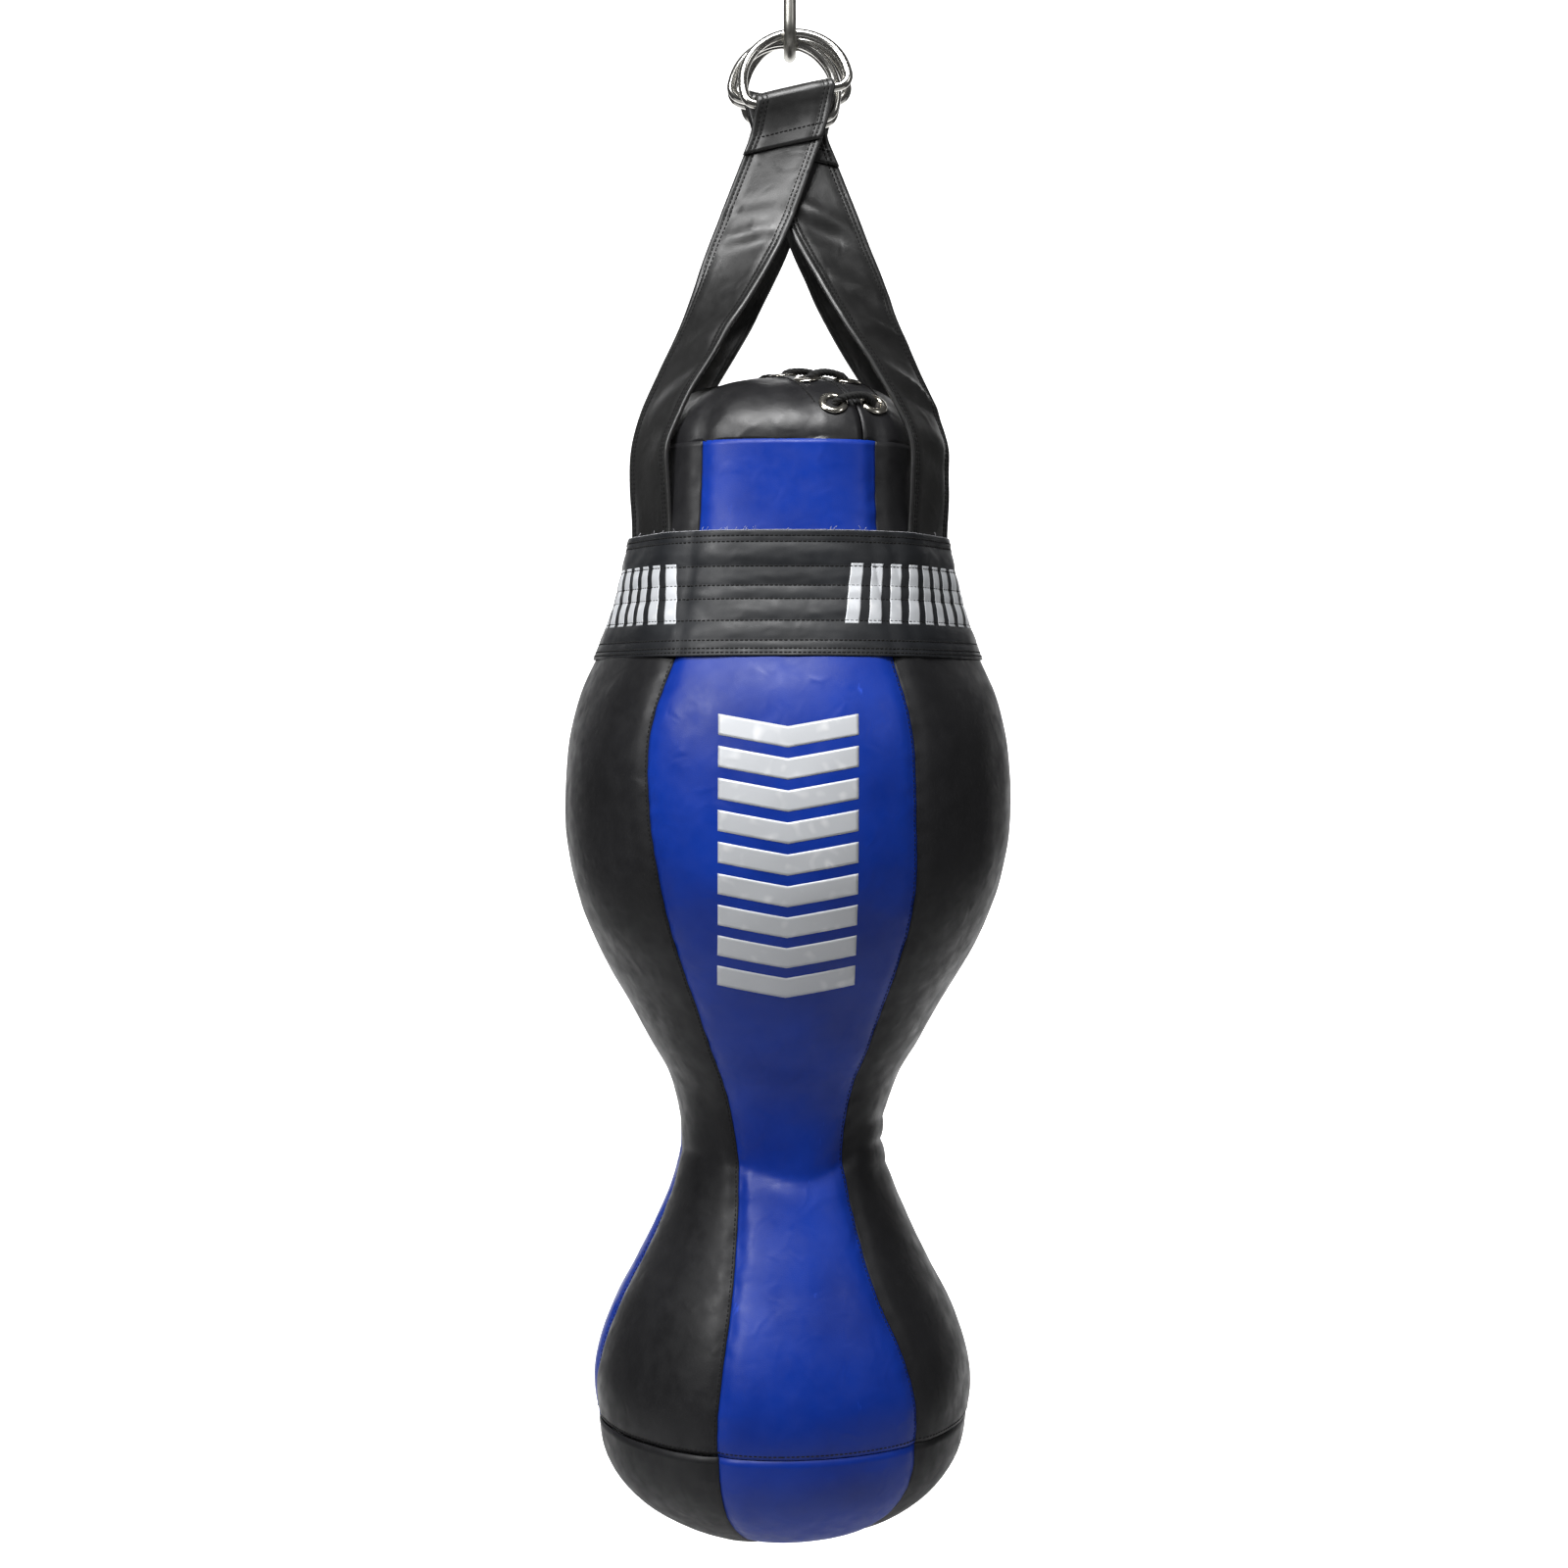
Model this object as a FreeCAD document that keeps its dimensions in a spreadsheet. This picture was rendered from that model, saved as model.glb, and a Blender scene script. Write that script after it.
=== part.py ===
"""Hanging triple punch bag: steel link, four D-rings, four straps and a laced, hourglass leatherette bag.

Millimetres, +Z up. The origin is the point inside the link's top bend that the link hangs from.
The bag's front faces -Y and its left side is -X. Azimuths are from the front, positive to the left.
"""

import FreeCAD, Part
import math
import os

V = FreeCAD.Vector

DIMENSIONS = [
    ("bar_dia", 13.0), ("link_length", 160.0), ("link_inside_width", 48.0),
    ("gate_dia", 11.0), ("gate_pin_dia", 4.0), ("gate_pin_depth", 38.0), ("gate_pin_clearance", 0.05),
    ("ear_gap", 5.2), ("tongue_thickness", 5.0), ("nose_depth", 97.0), ("gate_gap", 0.6),
    ("ring_wire", 10.0), ("ring_inside_width", 100.0), ("ring_leg", 17.0), ("ring_corner", 13.0),
    ("ring_tilt", 14.0), ("ring_shift", 6.0), ("bar_spacing", 22.0),
    ("strap_width", 84.0), ("strap_thickness", 4.0), ("loop_width", 80.0), ("loop_wall", 2.6),
    ("loop_half_depth", 7.7), ("loop_half_height", 10.6), ("strap_end_depth", 735.0),
    ("skin", 3.0), ("liner", 15.0),
    ("lid_seam_depth", 562.0), ("lid_rise", 78.0), ("lid_slit", 5.0), ("slit_azimuth", -28.0),
    ("band_top_depth", 651.0), ("band_bottom_depth", 776.0), ("band_thickness", 2.5),
    ("base_seam_depth", 1557.0), ("bottom_depth", 1686.0),
    ("eyelet_outside", 30.0), ("eyelet_hole", 15.0), ("eyelet_offset", 23.0), ("eyelet_count", 6),
    ("eyelet_spacing", 54.0), ("lace_dia", 8.0),
]

doc = FreeCAD.newDocument("punch_bag")
sheet = doc.addObject("Spreadsheet::Sheet", "dims")
for row, (alias, number) in enumerate(DIMENSIONS, 1):
    sheet.set(f"A{row}", alias)
    sheet.set(f"B{row}", str(number))
    sheet.setAlias(f"B{row}", alias)
doc.recompute()


def dim(alias):
    return float(getattr(sheet, alias))


def body_plane(body, role):
    return next(plane for plane in body.Origin.OriginFeatures if plane.Role == role)


def add_sketch(body, name, role, shift=V(0, 0, 0)):
    """An empty sketch on one of the body's own origin planes."""
    sketch = body.newObject("Sketcher::SketchObject", name)
    sketch.AttachmentSupport = [(body_plane(body, role), "")]
    sketch.MapMode = "FlatFace"
    sketch.AttachmentOffset = FreeCAD.Placement(shift, FreeCAD.Rotation())
    return sketch


def circle_sketch(body, name, role, centre, expression, offset_expression=None):
    """A circle of bound radius on an origin plane, at centre in the sketch's own axes."""
    import Sketcher

    sketch = add_sketch(body, name, role)
    sketch.addGeometry(Part.Circle(V(centre[0], centre[1], 0), V(0, 0, 1), 2.0), False)
    sketch.addConstraint(Sketcher.Constraint("Radius", 0, 2.0))
    sketch.setExpression("Constraints[0]", expression)
    if offset_expression:
        sketch.setExpression("AttachmentOffset.Base.z", offset_expression)
    return sketch


def feature(label, shape):
    """A sub-part whose shape is worked out below from the sheet."""
    if shape.Volume < 0:
        shape.reverse()
    made = doc.addObject("Part::Feature", label)
    made.Shape = shape
    return made


# ---------------------------------------------------------------- steel link
def bend_radius():
    return (dim("link_inside_width") + dim("bar_dia")) / 2


def link_points():
    """Heights of the two bends' centres."""
    bar = dim("bar_dia")
    top = bar / 2 - bend_radius()
    low = bar - dim("link_length") + bar / 2 + bend_radius()
    return top, low


def make_link_frame():
    body = doc.addObject("PartDesign::Body", "link_frame")
    reach = bend_radius()
    top, low = link_points()
    ear_end = -dim("gate_pin_depth") - 8
    nose = -dim("nose_depth")
    path = add_sketch(body, "link_path", "YZ_Plane")
    path.addGeometry(Part.LineSegment(V(reach, ear_end, 0), V(reach, top, 0)), False)
    path.addGeometry(Part.ArcOfCircle(Part.Circle(V(0, top, 0), V(0, 0, 1), reach), 0, math.pi), False)
    path.addGeometry(Part.LineSegment(V(-reach, top, 0), V(-reach, low, 0)), False)
    bend_low = Part.Circle(V(0, low, 0), V(0, 0, 1), reach)
    path.addGeometry(Part.ArcOfCircle(bend_low, math.pi, 2 * math.pi), False)
    path.addGeometry(Part.LineSegment(V(reach, low, 0), V(reach, nose, 0)), False)
    round_bar = circle_sketch(body, "link_bar", "XY_Plane", (0, reach), "dims.bar_dia / 2")
    round_bar.AttachmentOffset = FreeCAD.Placement(V(0, 0, ear_end), FreeCAD.Rotation())
    doc.recompute()
    pipe = body.newObject("PartDesign::AdditivePipe", "link_bend")
    pipe.Profile = round_bar
    pipe.Spine = (path, ["Edge1", "Edge2", "Edge3", "Edge4", "Edge5"])
    pipe.Transition = "Right corner"
    doc.recompute()
    slot = add_sketch(body, "ear_slot", "YZ_Plane")
    half = dim("bar_dia")
    corners = [(reach - half, ear_end - 1), (reach + half, ear_end - 1),
               (reach + half, ear_end + 15), (reach - half, ear_end + 15)]
    for start, end in zip(corners, corners[1:] + corners[:1]):
        slot.addGeometry(Part.LineSegment(V(*start, 0), V(*end, 0)), False)
    cut = body.newObject("PartDesign::Pocket", "ear_cut")
    cut.Profile = slot
    cut.Midplane = True
    cut.setExpression("Length", "dims.ear_gap")
    pin_place = (reach, -dim("gate_pin_depth"))
    pin_hole = circle_sketch(body, "pin_hole", "YZ_Plane", pin_place, "dims.gate_pin_dia / 2")
    hole = body.newObject("PartDesign::Pocket", "pin_cut")
    hole.Profile = pin_hole
    hole.Midplane = True
    hole.setExpression("Length", "dims.bar_dia * 2")
    return body


def make_gate_pin():
    body = doc.addObject("PartDesign::Body", "gate_pin")
    section = circle_sketch(body, "pin_section", "YZ_Plane", (bend_radius(), -dim("gate_pin_depth")),
                            "dims.gate_pin_dia / 2")
    pad = body.newObject("PartDesign::Pad", "pin_length")
    pad.Profile = section
    pad.Midplane = True
    pad.setExpression("Length", "dims.bar_dia - 0.4")
    return body


def make_link_gate():
    """A round gate with a flat tongue that turns on the pin between the frame's ears."""
    reach = bend_radius()
    pin_z = -dim("gate_pin_depth")
    shoulder = pin_z - 12.5
    foot = -dim("nose_depth") + dim("gate_gap")
    rod = doc.addObject("Part::Cylinder", "gate_rod")
    rod.setExpression("Radius", "dims.gate_dia / 2")
    rod.Height = shoulder - foot
    rod.Placement.Base = V(0, reach, foot)
    tongue = doc.addObject("Part::Box", "gate_tongue")
    tongue.setExpression("Length", "dims.tongue_thickness")
    tongue.Width = 9
    tongue.Height = pin_z - shoulder + 1
    tongue.Placement.Base = V(-dim("tongue_thickness") / 2, reach - 4.5, shoulder - 1)
    knuckle = doc.addObject("Part::Cylinder", "gate_knuckle")
    knuckle.Radius = 4.5
    knuckle.setExpression("Height", "dims.tongue_thickness")
    knuckle.Placement = FreeCAD.Placement(V(-dim("tongue_thickness") / 2, reach, pin_z),
                                          FreeCAD.Rotation(V(0, 1, 0), 90))
    whole = doc.addObject("Part::MultiFuse", "gate_whole")
    whole.Shapes = [rod, tongue, knuckle]
    bore = doc.addObject("Part::Cylinder", "gate_bore")
    bore.setExpression("Radius", "dims.gate_pin_dia / 2 + dims.gate_pin_clearance")
    bore.Height = 20
    bore.Placement = FreeCAD.Placement(V(-10, reach, pin_z), FreeCAD.Rotation(V(0, 1, 0), 90))
    gate = doc.addObject("Part::Cut", "link_gate")
    gate.Base, gate.Tool = whole, bore
    return gate


# ---------------------------------------------------------------- D-rings
RINGS = [("front_left", -1.5, 1), ("front_right", -0.5, -1), ("rear_right", 0.5, -1), ("rear_left", 1.5, 1)]


def ring_radius():
    return (dim("ring_inside_width") + dim("ring_wire")) / 2


def ring_pose(place, lean):
    """Placement of a ring, given by its top on the link's bend, its fan angle and its sideways tilt.

    In a ring's own frame the straight bar lies along X through the origin and the arc is above it.
    """
    _, low = link_points()
    nest = dim("link_inside_width") / 2 - dim("ring_wire") / 2 - 0.35
    step = 2 * math.asin((dim("ring_wire") + 0.9) / 2 / nest)
    angle = place * step
    top = V(0, nest * math.sin(angle), low - nest * math.cos(angle))
    height = ring_radius() + dim("ring_leg")
    fan = math.asin((place * dim("bar_spacing") - top.y) / height)
    turn = FreeCAD.Rotation(V(1, 0, 0), math.degrees(fan)).multiply(
        FreeCAD.Rotation(V(0, 1, 0), -lean * dim("ring_tilt")))
    shift = lean * dim("ring_shift")
    drop = ring_radius() - math.sqrt(ring_radius() ** 2 - shift ** 2)
    arc_centre = top + FreeCAD.Rotation(V(1, 0, 0), math.degrees(fan)).multVec(
        V(shift, 0, -ring_radius() + drop))
    base = arc_centre + turn.multVec(V(0, 0, -dim("ring_leg")))
    return FreeCAD.Placement(base, turn)


def make_ring(name, place, lean):
    body = doc.addObject("PartDesign::Body", f"d_ring_{name}")
    radius, leg, corner = ring_radius(), dim("ring_leg"), dim("ring_corner")
    path = add_sketch(body, f"ring_path_{name}", "XZ_Plane")
    quarter = math.pi / 2
    crown = Part.Circle(V(0, leg, 0), V(0, 0, 1), radius)
    path.addGeometry(Part.ArcOfCircle(crown, quarter, 2 * quarter), False)
    path.addGeometry(Part.LineSegment(V(-radius, leg, 0), V(-radius, corner, 0)), False)
    path.addGeometry(Part.ArcOfCircle(Part.Circle(V(corner - radius, corner, 0), V(0, 0, 1), corner),
                                      2 * quarter, 3 * quarter), False)
    path.addGeometry(Part.LineSegment(V(corner - radius, 0, 0), V(radius - corner, 0, 0)), False)
    path.addGeometry(Part.ArcOfCircle(Part.Circle(V(radius - corner, corner, 0), V(0, 0, 1), corner),
                                      3 * quarter, 4 * quarter), False)
    path.addGeometry(Part.LineSegment(V(radius, corner, 0), V(radius, leg, 0)), False)
    path.addGeometry(Part.ArcOfCircle(Part.Circle(V(0, leg, 0), V(0, 0, 1), radius), 0, quarter), False)
    wire = circle_sketch(body, f"ring_wire_{name}", "YZ_Plane", (0, leg + radius), "dims.ring_wire / 2")
    doc.recompute()
    pipe = body.newObject("PartDesign::AdditivePipe", f"ring_pipe_{name}")
    pipe.Profile = wire
    pipe.Spine = (path, [f"Edge{number}" for number in range(1, 8)])
    body.Placement = ring_pose(place, lean)
    return body


# ---------------------------------------------------------------- straps
STRAP_AZIMUTH = {"front_left": 60, "front_right": -60, "rear_left": 120, "rear_right": -120}


def strap_section(centre, across, normal, width, thickness):
    """A closed rectangle round centre: width along across, thickness along normal."""
    side = across * (width / 2)
    face = normal * (thickness / 2)
    corners = [centre - side - face, centre + side - face, centre + side + face, centre - side + face]
    return Part.makePolygon(corners + corners[:1])


def make_strap(name, place, lean):
    """A loop round the ring's bar, then a flat strap that turns as it goes down to the collar."""
    pose = ring_pose(place, lean)
    bar = pose.Base
    across = pose.Rotation.multVec(V(1, 0, 0))
    wall, depth, height = dim("loop_wall"), dim("loop_half_depth"), dim("loop_half_height")
    width = dim("loop_width")
    rolled = Part.makeBox(2 * depth + 2 * wall, width, 2 * height + 2 * wall,
                          V(-depth - wall, -width / 2, -height - wall))
    rolled = rolled.makeFillet(depth + wall - 0.2, [edge for edge in rolled.Edges
                                                   if abs(edge.tangentAt(edge.FirstParameter).y) > 0.9])
    hollow = Part.makeBox(2 * depth, width + 2, 2 * height, V(-depth, -width / 2 - 1, -height))
    hollow = hollow.makeFillet(depth - 0.2, [edge for edge in hollow.Edges
                                            if abs(edge.tangentAt(edge.FirstParameter).y) > 0.9])
    loop = rolled.cut(hollow)
    upright = (V(0, 0, 1) - across * across.z).normalize()
    facing = across.cross(upright)
    frame = FreeCAD.Matrix(facing.x, across.x, upright.x, bar.x, facing.y, across.y, upright.y, bar.y,
                           facing.z, across.z, upright.z, bar.z, 0, 0, 0, 1)
    loop = loop.transformGeometry(frame)
    azimuth = math.radians(STRAP_AZIMUTH[name])
    outward = V(-math.sin(azimuth), -math.cos(azimuth), 0)
    sideways = V(math.cos(azimuth), -math.sin(azimuth), 0)
    if sideways.dot(across) < 0:
        sideways = sideways * -1
    thickness = dim("strap_thickness")
    start = bar - upright * (height + wall / 2)
    band_top = dim("band_top_depth")
    landing = outward * (body_radius(band_top) + thickness / 2 + 0.4) + V(0, 0, -band_top)
    collar = body_radius(band_top) + thickness / 2
    tangent_top = outward * (collar + 5.5) + V(0, 0, -dim("lid_seam_depth") + 6)
    stations = [(start, 0.0), (start * 0.55 + tangent_top * 0.45, 0.4), (tangent_top, 0.92), (landing, 1.0)]
    end = dim("strap_end_depth")
    stations += [(outward * (body_radius(deep) + thickness / 2 + 0.4) + V(0, 0, -deep), 1.0)
                 for deep in ((band_top + end) / 2, end)]
    sections = []
    for number, (centre, turn) in enumerate(stations):
        along = (across * (1 - turn) + sideways * turn).normalize()
        before = stations[max(number - 1, 0)][0]
        after = stations[min(number + 1, len(stations) - 1)][0]
        run = after - before
        wide = dim("loop_width") if number == 0 else dim("strap_width")
        sections.append(strap_section(centre, along, run.cross(along).normalize(), wide, thickness))
    slab = Part.makeLoft(sections, True, True)
    return feature(f"strap_{name}", loop.fuse(slab))


# ---------------------------------------------------------------- the bag's outline
OUTLINE = [  # radius and depth of the skin, from the lid's seam to the bottom, with an arc through each three
    (148, 562), (151, 606), (155, 651), (168, 713), (197, 776), (231, 921), (203, 1056),
    (171, 1115), (139, 1174), (107, 1272), (135, 1368), (155, 1408), (175, 1445),
    (195, 1510), (181, 1580), (118, 1658), (30, 1685),
]


def bend(start, middle, end):
    """The arc through three points, or a straight edge where they are nearly in line."""
    if middle.distanceToLine(start, end - start) < 0.05:
        return Part.LineSegment(start, end).toShape()
    return Part.Arc(start, middle, end).toShape()


def outline_arcs(inset, first, last):
    """Arcs through the outline's points first to last, moved inwards by inset."""
    points = []
    for number in range(first, last + 1):
        radius, depth = OUTLINE[number]
        before = OUTLINE[max(number - 1, 0)]
        after = OUTLINE[min(number + 1, len(OUTLINE) - 1)]
        run_r, run_d = after[0] - before[0], after[1] - before[1]
        if number == len(OUTLINE) - 1:
            run_r, run_d = -1, 0.1
        size = math.hypot(run_r, run_d)
        points.append(V(radius - inset * run_d / size, 0, -depth - inset * run_r / size))
    return [bend(*points[start:start + 3]) for start in range(0, len(points) - 1, 2)], points


def body_radius(depth):
    """Outside radius of the skin at a depth, read between the outline's points."""
    for (r_a, d_a), (r_b, d_b) in zip(OUTLINE, OUTLINE[1:]):
        if d_a <= depth <= d_b:
            return r_a + (r_b - r_a) * (depth - d_a) / (d_b - d_a)
    return 0


def turned(edges, start_azimuth, span):
    """A closed section in the XZ plane, revolved about Z from one azimuth over a span of degrees."""
    face = Part.Face(Part.Wire(Part.__sortEdges__(edges)))
    if face.normalAt(0, 0).y > 0:
        face.reverse()
    solid = face.revolve(V(0, 0, 0), V(0, 0, 1), span)
    solid = Part.Solid(Part.Shell(solid.Faces))
    if solid.Volume < 0:
        solid = Part.Solid(solid.Shells[0].reversed())
    turn = FreeCAD.Placement(V(0, 0, 0), FreeCAD.Rotation(V(0, 0, 1), start_azimuth))
    return solid.transformed(turn.toMatrix(), True)


def skin_section(first, last, outside, inside):
    outer, outer_points = outline_arcs(outside, first, last)
    inner, inner_points = outline_arcs(inside, first, last)
    if last == len(OUTLINE) - 1:
        for edges, points in ((outer, outer_points), (inner, inner_points)):
            points.append(V(0, 0, points[-1].z))
            edges.append(Part.LineSegment(points[-2], points[-1]).toShape())
    caps = [Part.LineSegment(outer_points[0], inner_points[0]).toShape(),
            Part.LineSegment(outer_points[-1], inner_points[-1]).toShape()]
    return outer + inner + caps


SEAM_POINT = 14
GORES = ["front", "front_right", "rear_right", "rear", "rear_left", "front_left"]


def make_gores():
    for number, name in enumerate(GORES):
        start = 240 + 60 * number
        feature(f"gore_{name}", turned(skin_section(0, SEAM_POINT, 0, dim("skin")), start, 60))
        feature(f"base_{name}", turned(skin_section(SEAM_POINT, len(OUTLINE) - 1, 0, dim("skin")), start, 60))


def make_inside():
    skin, thick = dim("skin") + 0.4, dim("liner")
    feature("foam_liner", turned(skin_section(0, len(OUTLINE) - 1, skin, skin + thick), 0, 360))
    edges, points = outline_arcs(skin + thick + 0.4, 0, len(OUTLINE) - 1)
    corners = [points[0], V(0, 0, points[0].z), V(0, 0, points[-1].z), points[-1]]
    edges += [Part.LineSegment(start, end).toShape() for start, end in zip(corners, corners[1:])]
    feature("filling", turned(edges, 0, 360))


def make_band():
    """The belt over the strap ends, flared like the bag under it."""
    under = dim("strap_thickness") + 0.8
    top, mid, low = dim("band_top_depth"), dim("strap_end_depth"), dim("band_bottom_depth")
    over = [math.hypot(body_radius(depth) + under, dim("strap_width") / 2) + 0.7 for depth in (top, mid)]
    inner = [V(over[0], 0, -top), V(over[1], 0, -mid), V(body_radius(low) + 0.6, 0, -low)]
    outer = [point + V(dim("band_thickness"), 0, 0) for point in inner]
    edges = [Part.Arc(*inner).toShape(), Part.Arc(*outer).toShape(),
             Part.LineSegment(inner[0], outer[0]).toShape(), Part.LineSegment(inner[2], outer[2]).toShape()]
    feature("waist_band", turned(edges, 0, 360))


# ---------------------------------------------------------------- laced lid
def lid_height(radius, inset=0.0):
    """Height of the lid's surface over the seam, a flattened dome."""
    reach = OUTLINE[0][0] - inset
    return (dim("lid_rise") - inset) * math.sqrt(max(0.0, 1 - (radius / reach) ** 2.6))


def slit_point(along, offset, lift=0.0):
    """A point over the lid: along the slit, offset across it, lifted along the surface's normal."""
    turn = math.radians(dim("slit_azimuth"))
    forward = V(-math.sin(turn), -math.cos(turn), 0)
    across = V(math.cos(turn), -math.sin(turn), 0)
    flat = forward * along + across * offset
    normal = lid_normal(flat)
    return V(flat.x, flat.y, lid_height(flat.Length) + 0.3 - dim("lid_seam_depth")) + normal * lift


def lid_normal(flat):
    radius = flat.Length
    slope = (lid_height(radius + 0.5) - lid_height(max(radius - 0.5, 0))) / 1.0
    if radius < 1:
        return V(0, 0, 1)
    return V(-slope * flat.x / radius, -slope * flat.y / radius, 1).normalize()


def lid_solid(inset, floor):
    """A solid dome under the lid's surface, moved in by inset, down to floor above the seam."""
    reach = OUTLINE[0][0] - inset
    rim = [reach * part for part in (0, 0.3, 0.6, 0.82, 0.95, 1.0)]
    points = [V(radius, 0, lid_height(radius, inset) + 0.3 - dim("lid_seam_depth")) for radius in rim]
    curve = Part.BSplineCurve()
    curve.interpolate(points, InitialTangent=V(1, 0, 0), FinalTangent=V(0, 0, -1))
    base = V(0, 0, floor + 0.3 - dim("lid_seam_depth"))
    edges = [curve.toShape(), Part.LineSegment(points[0], base).toShape()]
    edges += [Part.LineSegment(base, V(reach, 0, base.z)).toShape()]
    if points[-1].z > base.z + 0.01:
        edges.append(Part.LineSegment(V(reach, 0, base.z), points[-1]).toShape())
    return turned(edges, 0, 360)


def eyelet_places():
    count = int(dim("eyelet_count"))
    return [(number - (count - 1) / 2) * dim("eyelet_spacing") for number in range(count)]


def make_lid():
    shell = lid_solid(0, 0).cut(lid_solid(dim("skin"), -5))
    holes = []
    for along in eyelet_places():
        for side in (-1, 1):
            foot = slit_point(along, side * dim("eyelet_offset"), -12)
            axis = slit_point(along, side * dim("eyelet_offset"), 12) - foot
            holes.append(Part.makeCylinder(dim("eyelet_hole") / 2 + 1.2, 24, foot, axis))
    for side, name in ((-1, "right"), (1, "left")):
        edge = dim("lid_slit") / 2
        corner = V(-200, edge if side > 0 else -200 - edge, -dim("lid_seam_depth") - 20)
        half = Part.makeBox(400, 200, 200, corner)
        half.rotate(V(0, 0, 0), V(0, 0, 1), -90 - dim("slit_azimuth"))
        feature(f"top_flap_{name}", shell.common(half).cut(holes))


def make_eyelets():
    """Domed washers with a short barrel, one group of separate solids on each side of the slit."""
    outside, hole = dim("eyelet_outside") / 2, dim("eyelet_hole") / 2
    section = [V(hole, 0, -3.4), V(hole, 0, 1.6), V(outside, 0, 0.9), V(outside, 0, 0.3), V(hole + 1, 0, 0.3),
               V(hole + 1, 0, -3.4)]
    face = Part.Face(Part.makePolygon(section + section[:1]))
    washer = face.revolve(V(0, 0, 0), V(0, 0, 1), 360)
    for side, name in ((1, "right"), (-1, "left")):
        solids = []
        for along in eyelet_places():
            seat = slit_point(along, side * dim("eyelet_offset"), 0.9)
            normal = slit_point(along, side * dim("eyelet_offset"), 1.9) - seat
            copy = washer.copy()
            copy.Placement = FreeCAD.Placement(seat, FreeCAD.Rotation(V(0, 0, 1), normal))
            solids.append(copy)
        feature(f"eyelets_{name}", Part.makeCompound(solids))


def rounded_pipe(points, diameter):
    """A tube on straight runs joined by tangent arcs, each as large as its runs allow."""
    edges, start, radii = [], points[0], []
    for before, corner, after in zip(points, points[1:], points[2:]):
        into, out = corner - before, after - corner
        turn = into.getAngle(out)
        radius = 0.45 * min(into.Length, out.Length) / math.tan(turn / 2)
        cut = radius * math.tan(turn / 2)
        near = corner - into.normalize() * cut
        far = corner + out.normalize() * cut
        bisector = (far + near) * 0.5 - corner
        middle = corner + bisector.normalize() * (radius / math.cos(turn / 2) - radius)
        edges += [Part.LineSegment(start, near).toShape(), Part.Arc(near, middle, far).toShape()]
        radii.append(round(radius, 1))
        start = far
    edges.append(Part.LineSegment(start, points[-1]).toShape())
    wire = Part.Wire(edges)
    circle = Part.Wire(Part.Circle(points[0], points[1] - points[0], diameter / 2).toShape())
    tube = wire.makePipeShell([circle], True, False)
    print("lace length", round(wire.Length, 1), "radii", min(radii), max(radii),
          "volume ratio", round(tube.Volume / (wire.Length * math.pi * diameter ** 2 / 4), 4))
    return tube


def make_lace():
    """Over the slit from left to right, down through the eyelet, and back under the flaps to the next."""
    reach = dim("eyelet_offset")
    points = []
    for along in reversed(eyelet_places()):
        points += [slit_point(along, -reach, -9), slit_point(along, -reach, 2),
                   slit_point(along, -reach + 9, 9), slit_point(along, reach - 9, 9),
                   slit_point(along, reach, 2), slit_point(along, reach, -9),
                   slit_point(along - 12, reach - 14, -15), slit_point(along - 34, -reach + 14, -15)]
    feature("lace", rounded_pipe(points[:-2], dim("lace_dia")))


def make_tongue():
    """The flap under the lacing that keeps the filling in."""
    turn = -90 - dim("slit_azimuth")
    shell = lid_solid(21, 0).cut(lid_solid(24, -6))
    strip = Part.makeBox(240, 90, 200, V(-120, -45, -dim("lid_seam_depth")))
    strip.rotate(V(0, 0, 0), V(0, 0, 1), turn)
    feature("lace_tongue", shell.common(strip))


def main():
    parts = [make_link_frame(), make_gate_pin(), make_link_gate()]
    parts += [make_ring(*ring) for ring in RINGS]
    for ring in RINGS:
        make_strap(*ring)
    make_gores()
    make_inside()
    make_band()
    make_lid()
    make_eyelets()
    make_lace()
    make_tongue()
    parts += [made for made in doc.Objects if made.TypeId == "Part::Feature"]
    doc.recompute()
    for made in doc.Objects:
        if "Invalid" in made.State or "Error" in made.State:
            raise RuntimeError(f"{made.Label} failed: {made.State}")
    for made in parts:
        if made.Shape.isNull() or not made.Shape.isValid() or made.Shape.Volume <= 0:
            raise RuntimeError(f"{made.Label} has no valid solid")
    os.makedirs("parts", exist_ok=True)
    for made in parts:
        made.Shape.exportStep(f"parts/{made.Label}.step")
    print(len(parts), "parts written")


main()
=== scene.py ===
"""Looks of the hanging triple punch bag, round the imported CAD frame. Metres, +Z up, front is -Y."""

import math
import random

import bmesh
import bpy
import numpy as np
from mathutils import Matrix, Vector, noise


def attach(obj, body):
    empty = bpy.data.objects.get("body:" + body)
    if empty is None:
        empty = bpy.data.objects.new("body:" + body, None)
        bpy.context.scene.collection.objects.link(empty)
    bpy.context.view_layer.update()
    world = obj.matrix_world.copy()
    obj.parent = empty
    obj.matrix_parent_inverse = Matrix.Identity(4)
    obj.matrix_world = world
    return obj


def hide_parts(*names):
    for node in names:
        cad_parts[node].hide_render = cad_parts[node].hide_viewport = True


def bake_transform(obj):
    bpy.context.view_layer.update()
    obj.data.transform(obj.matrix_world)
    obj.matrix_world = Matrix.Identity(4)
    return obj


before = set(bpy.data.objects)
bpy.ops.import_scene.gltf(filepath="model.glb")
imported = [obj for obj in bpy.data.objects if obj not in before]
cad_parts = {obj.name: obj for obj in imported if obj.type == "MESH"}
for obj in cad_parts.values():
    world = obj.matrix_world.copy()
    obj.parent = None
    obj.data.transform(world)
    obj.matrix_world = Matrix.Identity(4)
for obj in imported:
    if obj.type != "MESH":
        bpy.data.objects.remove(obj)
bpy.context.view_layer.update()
random.seed(7)
DEGREES = 57.3  # in a radian

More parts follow.
